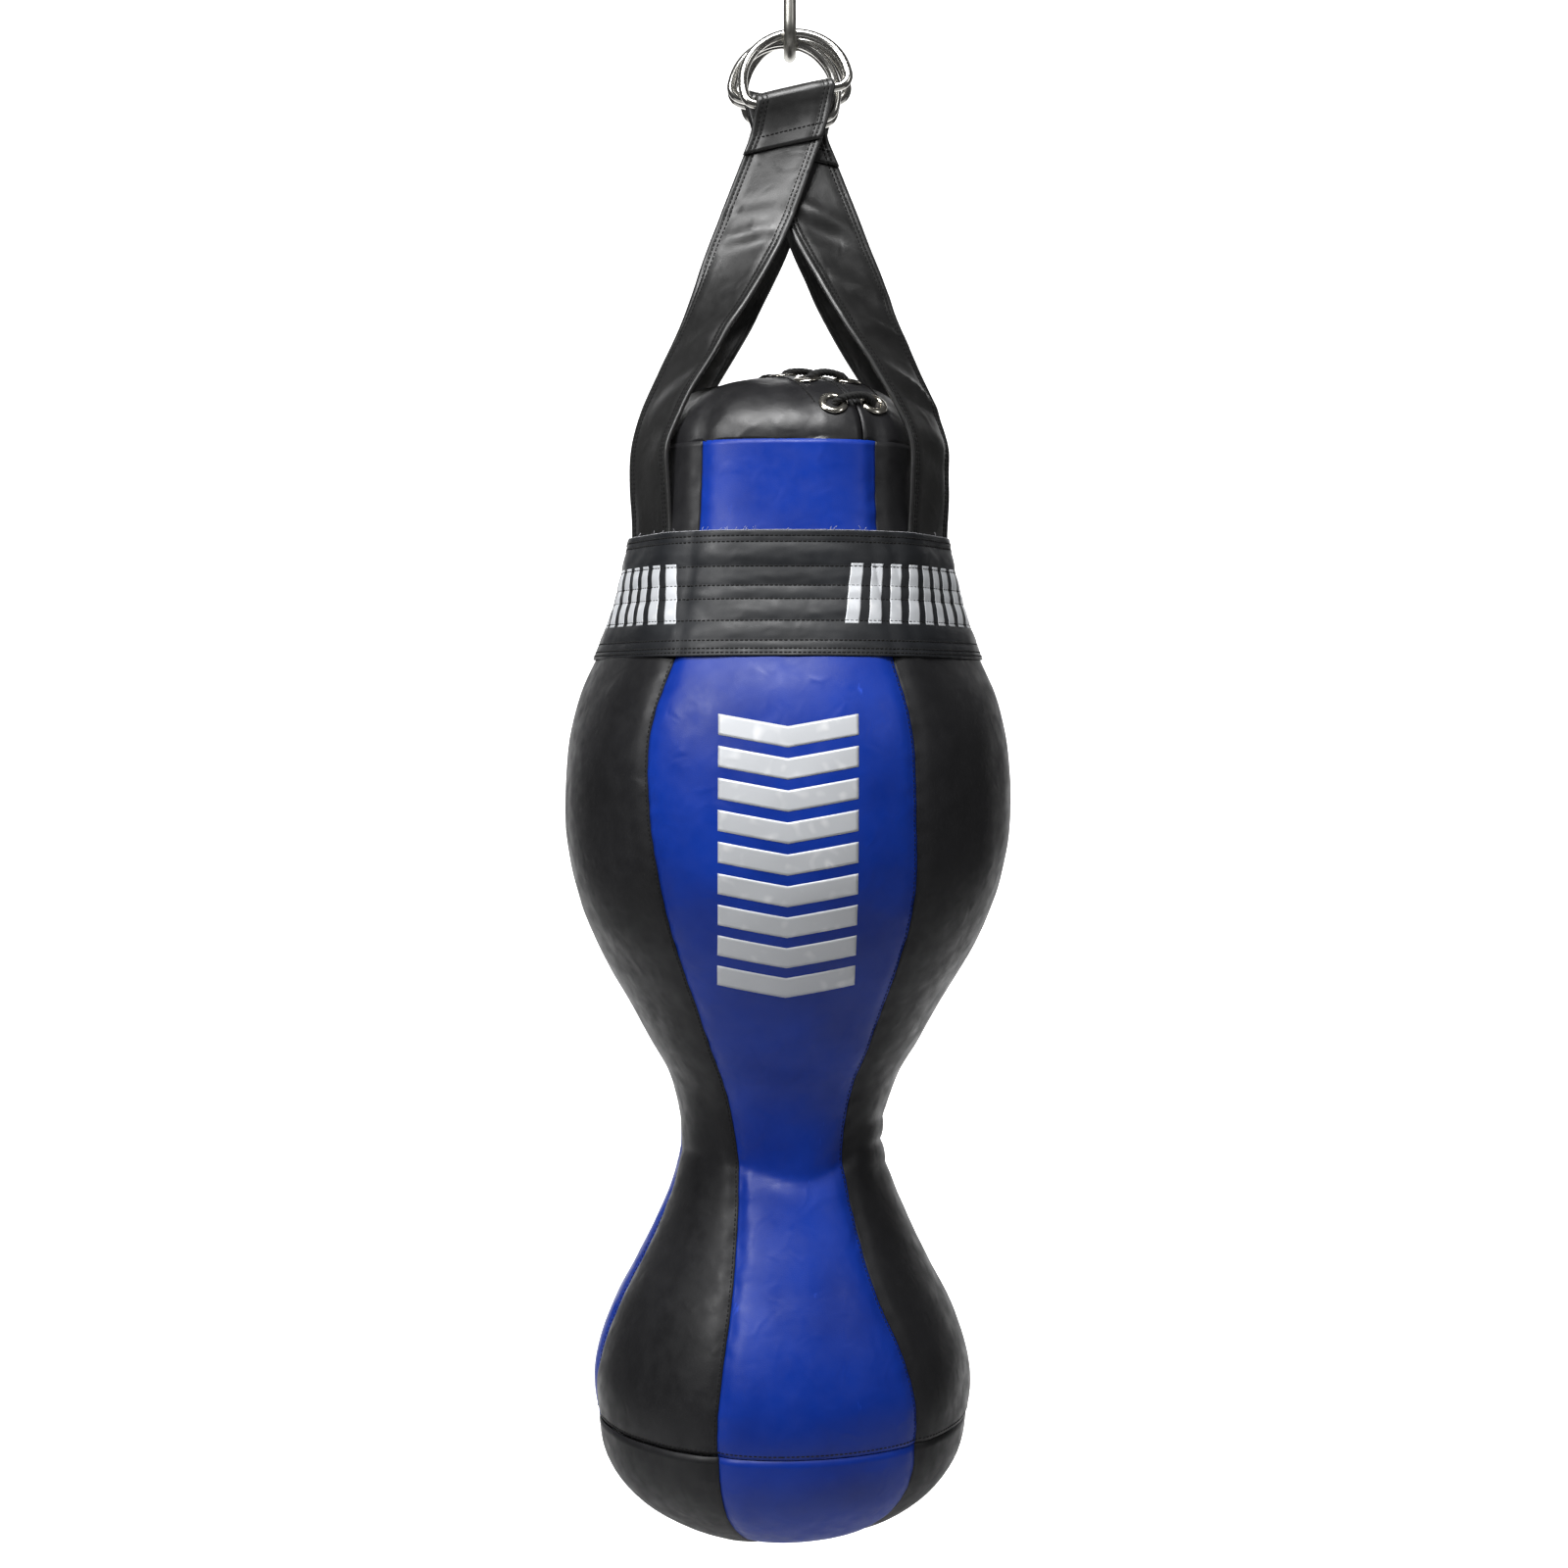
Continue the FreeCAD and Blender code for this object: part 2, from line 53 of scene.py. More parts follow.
# ------------------------------------------------------------------ camera
EYE_DISTANCE = 2.5
EYE_HEIGHT = -0.829  # level with the bag's upper bulge
EYE_ASIDE = -0.006
SENSOR, LENS = 36.0, 54.6075  # both in mm
SHIFT_DOWN = 0.046875  # as a share of the picture's width


def make_camera():
    """A level camera at the height of the upper bulge, shifted down a little to frame the whole bag."""
    data = bpy.data.cameras.new("camera")
    camera = bpy.data.objects.new("camera", data)
    bpy.context.collection.objects.link(camera)
    camera.location = (EYE_ASIDE, -EYE_DISTANCE, EYE_HEIGHT)
    camera.rotation_euler = (math.radians(90), 0, 0)
    data.sensor_width = SENSOR
    data.lens = LENS
    data.shift_y = -SHIFT_DOWN
    data.clip_end = 50
    bpy.context.scene.camera = camera


# ------------------------------------------------------------------ materials
def new_material(name):
    """A node material, with its nodes, its links and its shader."""
    material = bpy.data.materials.new(name)
    material.use_nodes = True
    nodes = material.node_tree.nodes
    return material, nodes, material.node_tree.links, nodes["Principled BSDF"]


def ramp(nodes, stops):
    """A colour ramp through (place, colour) stops."""
    node = nodes.new("ShaderNodeValToRGB")
    while len(node.color_ramp.elements) < len(stops):
        node.color_ramp.elements.new(0.5)
    for element, (place, colour) in zip(node.color_ramp.elements, stops):
        element.position = place
        element.color = (*colour, 1)
    return node


def cloud(nodes, links, scale, detail, ridged=False):
    """A noise texture in the object's own coordinates."""
    place = nodes.new("ShaderNodeTexCoord")
    texture = nodes.new("ShaderNodeTexNoise")
    if ridged:
        texture.noise_type = "RIDGED_MULTIFRACTAL"
    texture.inputs["Scale"].default_value = scale
    texture.inputs["Detail"].default_value = detail
    links.new(place.outputs["Object"], texture.inputs["Vector"])
    return texture


def spread(nodes, links, source, low, high, rough, shader):
    """Roughness that runs between two values as the source runs from low to high."""
    node = nodes.new("ShaderNodeMapRange")
    node.inputs["From Min"].default_value = low
    node.inputs["From Max"].default_value = high
    node.inputs["To Min"].default_value = rough[0]
    node.inputs["To Max"].default_value = rough[1]
    links.new(source.outputs["Fac"], node.inputs["Value"])
    links.new(node.outputs["Result"], shader.inputs["Roughness"])


def bump(nodes, links, height, strength, distance, target):
    """A bump made by a height output, into the normal of a shader or of another bump."""
    node = nodes.new("ShaderNodeBump")
    node.inputs["Strength"].default_value = strength
    node.inputs["Distance"].default_value = distance
    links.new(height, node.inputs["Height"])
    links.new(node.outputs["Normal"], target.inputs["Normal"])
    return node


def leatherette(name, dark, light, rough, grain, scuffs, gloss):
    """Grained vinyl: pebble grain, fine creases, slow colour drift and uneven gloss."""
    material, nodes, links, shader = new_material(name)
    colour = ramp(nodes, [(0.3, dark), (0.72, light)])
    links.new(cloud(nodes, links, 9, 5).outputs["Fac"], colour.inputs["Fac"])
    place = nodes.new("ShaderNodeTexCoord")
    pebbles = nodes.new("ShaderNodeTexVoronoi")
    pebbles.inputs["Scale"].default_value = 620
    pebbles.feature = "DISTANCE_TO_EDGE"
    links.new(place.outputs["Object"], pebbles.inputs["Vector"])
    creases = cloud(nodes, links, 46, 6, True)
    creases.inputs["Distortion"].default_value = 0.7
    spread(nodes, links, cloud(nodes, links, 60, 7), 0.3, 0.7, rough, shader)
    if scuffs:
        scratch = cloud(nodes, links, 14, 9)
        scratch.inputs["Roughness"].default_value = 0.72
        stretch = nodes.new("ShaderNodeMapping")
        stretch.inputs["Scale"].default_value = (3, 3, 0.6)
        stretch.inputs["Rotation"].default_value = (0.3, 0.5, 0.2)
        links.new(place.outputs["Object"], stretch.inputs["Vector"])
        links.new(stretch.outputs["Vector"], scratch.inputs["Vector"])
        mask = ramp(nodes, [(0.66, (0, 0, 0)), (0.72, (scuffs,) * 3)])
        links.new(scratch.outputs["Fac"], mask.inputs["Fac"])
        mix = nodes.new("ShaderNodeMix")
        mix.data_type = "RGBA"
        pale = tuple(min(1, channel * 2.2 + 0.03) for channel in light)
        mix.inputs["B"].default_value = (*pale, 1)
        links.new(mask.outputs["Color"], mix.inputs["Factor"])
        links.new(colour.outputs["Color"], mix.inputs["A"])
        links.new(mix.outputs["Result"], shader.inputs["Base Color"])
    else:
        links.new(colour.outputs["Color"], shader.inputs["Base Color"])
    broad = bump(nodes, links, creases.outputs["Fac"], 0.5 * grain, 0.0009, shader)
    bump(nodes, links, pebbles.outputs["Distance"], 0.22 * grain, 0.0004, broad)
    shader.inputs["Specular IOR Level"].default_value = gloss
    return material


def mottled(name, stops, scale, detail, ridged=False):
    """A material coloured by noise: its noise, its shader and the rest, for the three kinds below."""
    material, nodes, links, shader = new_material(name)
    texture = cloud(nodes, links, scale, detail, ridged)
    colour = ramp(nodes, stops)
    links.new(texture.outputs["Fac"], colour.inputs["Fac"])
    links.new(colour.outputs["Color"], shader.inputs["Base Color"])
    return material, nodes, links, shader, texture


def metal(name, dark, light, rough, scale):
    """Plated or bare steel with slow tone changes, fine unevenness and uneven polish."""
    material, nodes, links, shader, texture = mottled(name, [(0.35, dark), (0.65, light)], scale, 8)
    spread(nodes, links, texture, 0, 1, rough, shader)
    bump(nodes, links, texture.outputs["Fac"], 0.08, 0.0003, shader)
    shader.inputs["Metallic"].default_value = 1.0
    return material


def fibre(name, dark, light, scale, rough=0.85):
    """Thread, braid or raw textile: fine fibres."""
    material, nodes, links, shader, texture = mottled(name, [(0.35, dark), (0.65, light)], scale, 4)
    bump(nodes, links, texture.outputs["Fac"], 0.5, 0.0004, shader)
    shader.inputs["Roughness"].default_value = rough
    return material


def paint(name):
    """Silver-white screen print, worn thin along the grain of the vinyl."""
    stops = [(0.1, (0.66, 0.68, 0.71)), (0.5, (0.84, 0.85, 0.87)), (1.0, (0.55, 0.58, 0.66))]
    material, nodes, links, shader, texture = mottled(name, stops, 70, 7, True)
    bump(nodes, links, texture.outputs["Fac"], 0.3, 0.0006, shader)
    shader.inputs["Roughness"].default_value = 0.42
    shader.inputs["Metallic"].default_value = 0.15
    return material


MATERIALS = {
    "blue": leatherette("blue_vinyl", (0.002, 0.026, 0.27), (0.005, 0.046, 0.42),
                        (0.34, 0.5), 1.0, 0.35, 0.35),
    "black": leatherette("black_vinyl", (0.008, 0.008, 0.009), (0.016, 0.016, 0.018),
                         (0.40, 0.58), 1.0, 0, 0.4),
    "strap": leatherette("strap_vinyl", (0.009, 0.009, 0.009), (0.018, 0.018, 0.018),
                         (0.33, 0.46), 1.5, 0, 0.75),
    "band": leatherette("band_vinyl", (0.010, 0.011, 0.013), (0.020, 0.022, 0.026),
                        (0.40, 0.56), 0.8, 0, 0.4),
    "lid": leatherette("lid_vinyl", (0.009, 0.009, 0.010), (0.017, 0.017, 0.019),
                       (0.33, 0.47), 1.4, 0, 0.5),
    "thread": fibre("black_thread", (0.001, 0.001, 0.001), (0.004, 0.004, 0.004), 1500, 0.9),
    "fray": fibre("raw_threads", (0.42, 0.42, 0.45), (0.8, 0.8, 0.84), 1500),
    "rope": fibre("lace_rope", (0.004, 0.004, 0.004), (0.022, 0.022, 0.022), 1100),
    "paint": paint("silver_print"),
    "chrome": metal("polished_chrome", (0.48, 0.47, 0.44), (0.70, 0.69, 0.66), (0.15, 0.27), 35),
    "steel": metal("grey_steel", (0.34, 0.33, 0.30), (0.55, 0.54, 0.50), (0.30, 0.45), 60),
    "nickel": metal("nickel", (0.62, 0.58, 0.50), (0.80, 0.77, 0.70), (0.12, 0.25), 120),
}


# ------------------------------------------------------------------ the bag's surface
def smooth_table(rows):
    """A smooth function through rows of (height, value, ...), highest first, one output per value."""
    heights = np.array([row[0] for row in rows])[::-1]
    values = np.array([row[1:] for row in rows], float)[::-1]
    slopes = np.gradient(values, heights, axis=0)

    def at(height):
        height = min(max(height, heights[0]), heights[-1])
        low = min(max(int(np.searchsorted(heights, height)) - 1, 0), len(heights) - 2)
        span = heights[low + 1] - heights[low]
        part = (height - heights[low]) / span
        square, cube = part * part, part ** 3
        return ((2 * cube - 3 * square + 1) * values[low] + (cube - 2 * square + part) * span * slopes[low]
                + (3 * square - 2 * cube) * values[low + 1] + (cube - square) * span * slopes[low + 1])
    return at


LID_SEAM, BAND_TOP, BAND_LOW = -0.562, -0.651, -0.776
BASE_SEAM, ROUND_TOP, BOTTOM = -1.557, -1.560, -1.686
radius_at = smooth_table([
    (-0.562, 0.151), (-0.606, 0.153), (-0.651, 0.158), (-0.713, 0.172), (-0.776, 0.197), (-0.812, 0.213),
    (-0.850, 0.224), (-0.887, 0.2295), (-0.927, 0.231), (-0.968, 0.2285), (-1.009, 0.2205), (-1.050, 0.206),
    (-1.092, 0.185), (-1.133, 0.161), (-1.174, 0.138), (-1.205, 0.120), (-1.230, 0.1115), (-1.277, 0.107),
    (-1.318, 0.114), (-1.359, 0.1305), (-1.401, 0.151), (-1.442, 0.172), (-1.483, 0.188), (-1.515, 0.195),
    (-1.545, 0.194), (-1.575, 0.1865)])
# height, azimuth of the front panel's left seam, of its right seam, both in degrees out from the front
seams_at = smooth_table([
    (-0.562, 34.5, 34.5), (-0.651, 34, 33.5), (-0.776, 33.8, 30.8), (-0.850, 36.8, 32.7), (-0.930, 36, 33),
    (-1.000, 34.3, 34.8), (-1.090, 32.8, 35.8), (-1.170, 32, 37.4), (-1.260, 28, 37), (-1.340, 22, 36.8),
    (-1.420, 18.5, 37.5), (-1.470, 18.4, 41.0), (-1.557, 19.5, 44), (-1.69, 19.5, 44)])
hexagon_at = smooth_table([(-0.562, 0.027), (-0.70, 0.027), (-0.80, 0.018), (-0.93, 0.004), (-1.20, 0.004),
                           (-1.69, 0.003)])
lean_at = smooth_table([(-0.56, -0.001), (-0.8, -0.002), (-1.0, -0.0025), (-1.25, -0.007), (-1.4, -0.0075),
                        (-1.69, -0.0075)])
PANELS = [("front", "blue"), ("front_left", "black"), ("rear_left", "blue"), ("rear", "black"),
          ("rear_right", "blue"), ("front_right", "black")]
LEFT_PANEL, RIGHT_PANEL = 61, 59  # degrees that the black panels beside the front one take
SEAM_DIP, SEAM_WIDTH = 0.0030, 0.009
CREASE_HEIGHT, CREASE_DEPTH = -1.303, 0.0075


def seam_azimuths(height):
    """The six seams in degrees, positive to the left; panel n lies between n and n + 1."""
    left, right = seams_at(height)
    start, end = left + LEFT_PANEL, 360 - right - RIGHT_PANEL
    rest = end - start
    return [-right, left, start, start + rest / 3, start + rest * 2 / 3, end, 360 - right]


def bottom_radius(height):
    """Below the base seam the bag rounds off as a flattened ball."""
    if height >= ROUND_TOP:
        return radius_at(height)[0]
    fall = (ROUND_TOP - height) / (ROUND_TOP - BOTTOM)
    return radius_at(ROUND_TOP)[0] * math.sqrt(max(0.0, 1 - fall ** 2.15))


def ripple(point, size, seed):
    """Smooth noise between about -1 and 1, with waves of the given size."""
    return noise.noise(Vector((point[0] / size + seed, point[1] / size, point[2] / size)))


def skin_point(azimuth, height, lift=0.0, plain=False):
    """A point of the skin, azimuth in degrees positive to the left; plain has no seams or ripples."""
    turn = math.radians(azimuth)
    seams = seam_azimuths(height)
    inside = (azimuth - seams[0]) % 360 + seams[0]
    panel = max(number for number in range(6) if seams[number] <= inside + 1e-9)
    middle = (seams[panel] + seams[panel + 1]) / 2
    share = (inside - middle) / (seams[panel + 1] - seams[panel])
    hexagon = hexagon_at(height)[0]
    base = bottom_radius(height)
    radius = base * (1 - hexagon * math.cos(2 * math.pi * share))
    if not plain:
        arc = min(inside - seams[panel], seams[panel + 1] - inside) * math.pi / 180 * base
        full = min(1.0, base / 0.12)
        radius -= SEAM_DIP * full * math.exp(-(arc / SEAM_WIDTH) ** 2)
        radius += 0.0022 * full * math.sin(math.pi * max(0, 0.5 - abs(share))) ** 0.7
        at = (math.sin(turn) * base, math.cos(turn) * base, height)
        radius += 0.0016 * ripple(at, 0.11, 3) + 0.0007 * ripple(at, 0.035, 9)
        pucker = math.exp(-(arc / 0.016) ** 2) * ripple((azimuth / 400, height, panel), 0.012, 21)
        radius += 0.0011 * pucker
        radius += neck_fold(inside, height)
    radius += lift
    return Vector((-math.sin(turn) * radius + lean_at(height)[0], -math.cos(turn) * radius, height))


def off_by(azimuth, place):
    """Degrees from one azimuth to another, between -180 and 180."""
    return (azimuth - place + 180) % 360 - 180


def neck_fold(azimuth, height):
    """The fold across the front of the neck, and smaller ones at both its sides."""
    off = off_by(azimuth, -8)
    front = math.exp(-(off / 37) ** 4)
    line = CREASE_HEIGHT + 0.015 * (off / 30) ** 2 + 0.002 * math.sin(off / 7)
    gap = height - line
    fold = -CREASE_DEPTH * front * math.exp(-(abs(gap) / (0.034 if gap > 0 else 0.011)) ** 1.4)
    near = math.exp(-(off_by(azimuth, -84) / 30) ** 2)
    for place, depth, size in ((-1.252, 0.0035, 0.010), (-1.277, 0.005, 0.007), (-1.302, 0.0035, 0.010)):
        fold -= depth * near * math.exp(-abs(height - place) / size)
    other = math.exp(-(off_by(azimuth, 70) / 34) ** 2)
    return fold - 0.003 * other * math.exp(-abs(height + 1.286) / 0.014)


def normal_at(azimuth, height, surface):
    """Outward normal of a surface function at an azimuth and height."""
    around = surface(azimuth + 0.25, height) - surface(azimuth - 0.25, height)
    up = surface(azimuth, height + 0.0008) - surface(azimuth, height - 0.0008)
    normal = up.cross(around)
    centre = Vector((-math.sin(math.radians(azimuth)), -math.cos(math.radians(azimuth)), 0))
    return (normal if normal.dot(centre) > 0 else -normal).normalized()


# ------------------------------------------------------------------ mesh helpers
def mesh_object(name, vertices, faces, material):
    """A smooth-shaded mesh with its normals outward."""
    mesh = bpy.data.meshes.new(name)
    mesh.from_pydata([tuple(vertex) for vertex in vertices], [], faces)
    tidy = bmesh.new()
    tidy.from_mesh(mesh)
    bmesh.ops.recalc_face_normals(tidy, faces=tidy.faces)
    tidy.to_mesh(mesh)
    tidy.free()
    mesh.polygons.foreach_set("use_smooth", [True] * len(mesh.polygons))
    obj = bpy.data.objects.new(name, mesh)
    bpy.context.collection.objects.link(obj)
    mesh.materials.append(MATERIALS[material])
    return obj


def sheet_faces(rows, columns):
    """The faces of an open grid with one vertex more than its rows and columns each way."""
    width = columns + 1
    return [(corner, corner + 1, corner + width + 1, corner + width)
            for row in range(rows) for corner in range(row * width, row * width + columns)]


def thicken(piece, thickness):
    """Gives a sheet its thickness, inwards from its face."""
    thick = piece.modifiers.new("thickness", "SOLIDIFY")
    thick.thickness = thickness
    thick.offset = -1


def ring_grid(rows, close_rows=False):
    """Vertices and faces joining equally long closed rings: capped at both ends, or closed on itself."""
    vertices = [vertex for ring in rows for vertex in ring]
    size, faces = len(rows[0]), []
    last = len(rows) if close_rows else len(rows) - 1
    for row in range(last):
        for column in range(size):
            here, there = row * size, (row + 1) % len(rows) * size
            side = (column + 1) % size
            faces.append((here + column, here + side, there + side, there + column))
    if not close_rows:
        faces.append(tuple(range(size - 1, -1, -1)))
        faces.append(tuple((len(rows) - 1) * size + column for column in range(size)))
    return vertices, faces


def tube(points, radius, sides, close=False):
    """Rings round a line of points, for ring_grid."""
    rings, side = [], None
    count = len(points)
    for number, point in enumerate(points):
        after = points[(number + 1) % count] if close else points[min(number + 1, count - 1)]
        before = points[number - 1] if close else points[max(number - 1, 0)]
        along = (after - before).normalized()
        if side is None:
            side = along.orthogonal().normalized()
        side = (side - along * side.dot(along)).normalized()
        other = along.cross(side)
        rings.append([point + (side * math.cos(2 * math.pi * corner / sides)
                               + other * math.sin(2 * math.pi * corner / sides)) * radius
                      for corner in range(sides)])
    return rings


def joined(name, lumps, material):
    """One object from several (vertices, faces) lumps."""
    vertices, faces = [], []
    for lump_vertices, lump_faces in lumps:
        start = len(vertices)
        vertices += lump_vertices
        faces += [tuple(corner + start for corner in face) for face in lump_faces]
    return mesh_object(name, vertices, faces, material)


STITCH, STITCH_STEP, STITCH_RADIUS = 0.0034, 0.0048, 0.0008


def stitch_row(points, normals, sink=0.0001):
    """A row of stitches on a line: each a short thread that dives at both ends."""
    lumps, travelled, target = [], 0.0, STITCH_STEP / 2
    for number in range(len(points) - 1):
        start, end = points[number], points[number + 1]
        length = (end - start).length
        while travelled + length > target and length > 0:
            part = (target - travelled) / length
            centre = start.lerp(end, part)
            normal = normals[number].lerp(normals[number + 1], part).normalized()
            along = (end - start).normalized() * STITCH / 2
            dive = normal * (STITCH_RADIUS * 1.6)
            line = [centre - along - dive, centre - along * 0.7 + normal * sink, centre + along * 0.7
                    + normal * sink, centre + along - dive]
            lumps.append(ring_grid(tube(line, STITCH_RADIUS, 5)))
            target += STITCH_STEP
        travelled += length
    return lumps


# ------------------------------------------------------------------ panels
PANEL_COLUMNS, PANEL_STEP, SKIN_THICKNESS = 34, 0.0048, 0.002
TURN_IN, SEAM_GAP = 0.006, 0.06  # metres, degrees


def make_panel(name, number, top, low, colour):
    """One gore between two seams, its edges turned in where it is sewn to the next."""
    rows = max(8, int((top - low) / PANEL_STEP))
    vertices = []
    for row in range(rows + 1):
        part = row / rows
        if low <= BOTTOM + 0.001:
            part = math.sin(part * math.pi / 2)
        height = top + (low - top) * part
        seams = seam_azimuths(height)
        near, far = seams[number], seams[number + 1]
        turned = -min(TURN_IN, bottom_radius(height) * 0.5)
        vertices.append(skin_point(near, height, turned))
        for column in range(PANEL_COLUMNS + 1):
            share = column / PANEL_COLUMNS
            share -= math.sin(2 * math.pi * share) / (2 * math.pi) * 0.55
            azimuth = near + SEAM_GAP + (far - near - 2 * SEAM_GAP) * share
            vertices.append(skin_point(azimuth, height))
        vertices.append(skin_point(far, height, turned))
    panel = mesh_object(name, vertices, sheet_faces(rows, PANEL_COLUMNS + 2), colour)
    thicken(panel, SKIN_THICKNESS)
    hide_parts(name)
    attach(panel, "bag")


def make_skin():
    """The six gores and the six base gores under the ring seam."""
    for number, (name, colour) in enumerate(PANELS):
        make_panel(f"gore_{name}", number, LID_SEAM + 0.002, BASE_SEAM + 0.0006, colour)
        make_panel(f"base_{name}", number, BASE_SEAM - 0.0006, BOTTOM, colour)


def make_seam_threads():
    """Stitches beside every long seam, and round the base seam."""
    lumps = []
    for number in range(6):
        points, normals = [], []
        for step in range(180):
            height = BAND_LOW - 0.004 + (BASE_SEAM - BAND_LOW + 0.008) * step / 179
            azimuth = seam_azimuths(height)[number] + 0.0028 / bottom_radius(height) * DEGREES
            points.append(skin_point(azimuth, height))
            normals.append(normal_at(azimuth, height, skin_point))
        lumps += stitch_row(points, normals, -0.0003)
    ring = [(angle * 2, BASE_SEAM + 0.004) for angle in range(181)]
    points = [skin_point(*place) for place in ring]
    normals = [normal_at(azimuth, height, skin_point) for azimuth, height in ring]
    lumps += stitch_row(points, normals, -0.0002)
    threads = joined("seam_threads", lumps, "thread")
    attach(threads, "bag")


# ------------------------------------------------------------------ straps
STRAP_WIDTH, STRAP_THICKNESS, TAIL_LENGTH = 0.084, 0.0046, 0.054
STRAP_LOW, STRAP_RUN, LOOP_LOW = -0.715, 0.475, -0.225  # from under the belt up, and the loop's lower end
STITCH_INSETS = (0.0072, 0.0118)
BARS = {  # middle and direction of each ring's straight bar
    "front_left": ((0.0101, -0.0328, -0.1905), (0.9703, 0.0622, 0.2338)),
    "front_right": ((-0.0101, -0.0109, -0.1988), (0.9703, -0.0186, -0.2412)),
    "rear_left": ((0.0101, 0.0328, -0.1905), (0.9703, -0.0622, 0.2338)),
    "rear_right": ((-0.0101, 0.0109, -0.1988), (0.9703, 0.0186, -0.2412)),
}
# height, then x and y of the outer edge and of the inner edge, for the front left strap
strap_edges = smooth_table([
    (-0.225, -0.0400, -0.0325, 0.0400, -0.0370), (-0.265, -0.0545, -0.032, 0.0255, -0.042),
    (-0.307, -0.0695, -0.033, 0.0105, -0.050), (-0.341, -0.0825, -0.034, -0.002, -0.058),
    (-0.370, -0.093, -0.034, -0.017, -0.070), (-0.401, -0.103, -0.035, -0.034, -0.083),
    (-0.430, -0.113, -0.036, -0.051, -0.093), (-0.476, -0.133, -0.036, -0.080, -0.101),
    (-0.524, -0.154, -0.037, -0.107, -0.108), (-0.557, -0.163, -0.037, -0.1205, -0.111),
    (-0.600, -0.164, -0.0375, -0.1215, -0.110), (-0.647, -0.1625, -0.0365, -0.119, -0.109),
    (-0.680, -0.1625, -0.038, -0.120, -0.109), (-0.720, -0.165, -0.040, -0.124, -0.112)])
# folds across a strap: height, slant, depth, half width, side that it starts from
STRAP_FOLDS = {
    "front_left": [(-0.338, 0.03, 0.0036, 0.009, 0.1), (-0.455, 0.42, 0.0042, 0.017, 0.3),
                   (-0.52, 0.25, 0.0026, 0.020, 0.2), (-0.305, 0.02, 0.0012, 0.006, -0.2)],
    "front_right": [(-0.318, -0.34, 0.0056, 0.012, -0.1), (-0.392, -0.24, 0.0046, 0.009, 0.1),
                    (-0.436, -0.26, 0.0044, 0.008, 0.0), (-0.495, -0.55, 0.0052, 0.008, 0.1),
                    (-0.55, -0.25, 0.0026, 0.012, 0.2)],
    "rear_left": [(-0.40, 0.2, 0.003, 0.014, 0.3), (-0.50, 0.3, 0.003, 0.014, 0.1)],
    "rear_right": [(-0.36, 0.2, 0.003, 0.014, -0.3), (-0.47, 0.3, 0.003, 0.014, 0.2)],
}


def strap_frame(name, height):
    """Middle, sideways and outward directions of a strap at a height below its loop."""
    outer_x, outer_y, inner_x, inner_y = strap_edges(height)
    mirror_x = -1 if name.endswith("right") else 1
    mirror_y = -1 if name.startswith("rear") else 1
    bar = Vector(BARS[name][0])
    top = min(1.0, max(0.0, (height + 0.46) / (LOOP_LOW + 0.46)))
    shift = (bar.y - mirror_y * -0.0345) * top ** 1.3
    outer = Vector((mirror_x * outer_x, mirror_y * outer_y + shift, height))
    inner = Vector((mirror_x * inner_x, mirror_y * inner_y + shift, height))
    left, right = (outer, inner) if mirror_x > 0 else (inner, outer)
    slope = Vector(BARS[name][1]).z * top ** 2
    across = (right - left)
    across.z = across.length * slope
    across.normalize()
    lower = strap_edges(height - 0.004)
    down = Vector((mirror_x * (lower[0] + lower[2] - outer_x - inner_x) / 2,
                   mirror_y * (lower[1] + lower[3] - outer_y - inner_y) / 2, -0.004))
    outward = across.cross(down).normalized()
    if outward.y * mirror_y > 0:
        outward = -outward
    return (left + right) / 2, across, outward


def strap_line(name):
    """Stations (middle, across, outward, sort): up the strap, over the bar and down the folded end."""
    bar, along = Vector(BARS[name][0]), Vector(BARS[name][1]).normalized()
    mirror_y = -1 if name.startswith("rear") else 1
    bar = bar + along * (-0.004 if name.endswith("left") else 0.004)
    up = (Vector((0, 0, 1)) - along * along.z).normalized()
    front = Vector((0, -mirror_y, 0))
    front = (front - along * front.dot(along)).normalized()
    front = (front - up * front.dot(up)).normalized()
    roll = 0.0052 + STRAP_THICKNESS / 2
    stations = [(*strap_frame(name, STRAP_LOW + STRAP_RUN * step / 120), "main") for step in range(121)]
    for angle in range(-24, 181, 12):
        turn = math.radians(angle)
        facing = (front * -math.cos(turn) + up * math.sin(turn)).normalized()
        stations.append((bar + facing * roll, along, facing, "roll"))
    for step in range(1, 13):
        drop = 0.006 + (TAIL_LENGTH - 0.006) * step / 12
        height = bar.z - drop
        if height > LOOP_LOW:
            part = (height - bar.z) / (LOOP_LOW - bar.z)
            middle, across, outward = strap_frame(name, LOOP_LOW)
            middle = bar.lerp(middle, part)
            across = along.lerp(across, part).normalized()
            outward = front.lerp(outward, part).normalized()
        else:
            middle, across, outward = strap_frame(name, height)
        squeeze = math.exp(-drop / 0.010)
        offset = STRAP_THICKNESS * 0.84 + (roll - STRAP_THICKNESS * 0.42) * squeeze
        stations.append((middle + outward * offset, across, outward, "tail"))
    return stations


SECTION = [-1, -0.985, -0.955, -0.91, -0.86, -0.83, -0.80, -0.75, -0.715, -0.67, -0.5, -0.25, 0,
           0.25, 0.5, 0.67, 0.715, 0.75, 0.80, 0.83, 0.86, 0.91, 0.955, 0.985, 1]


def face_relief(share):
    """Height of the strap's face over its flat: rolled edges, stitch channels and a soft middle."""
    edge = (1 - abs(share)) * STRAP_WIDTH / 2
    rolled = 0.0006 * math.exp(-((edge - 0.0030) / 0.0022) ** 2)
    channel = sum(0.0006 * math.exp(-((edge - place) / 0.0011) ** 2) for place in STITCH_INSETS)
    return rolled - channel + 0.0009 * math.sqrt(max(0, 1 - share * share))


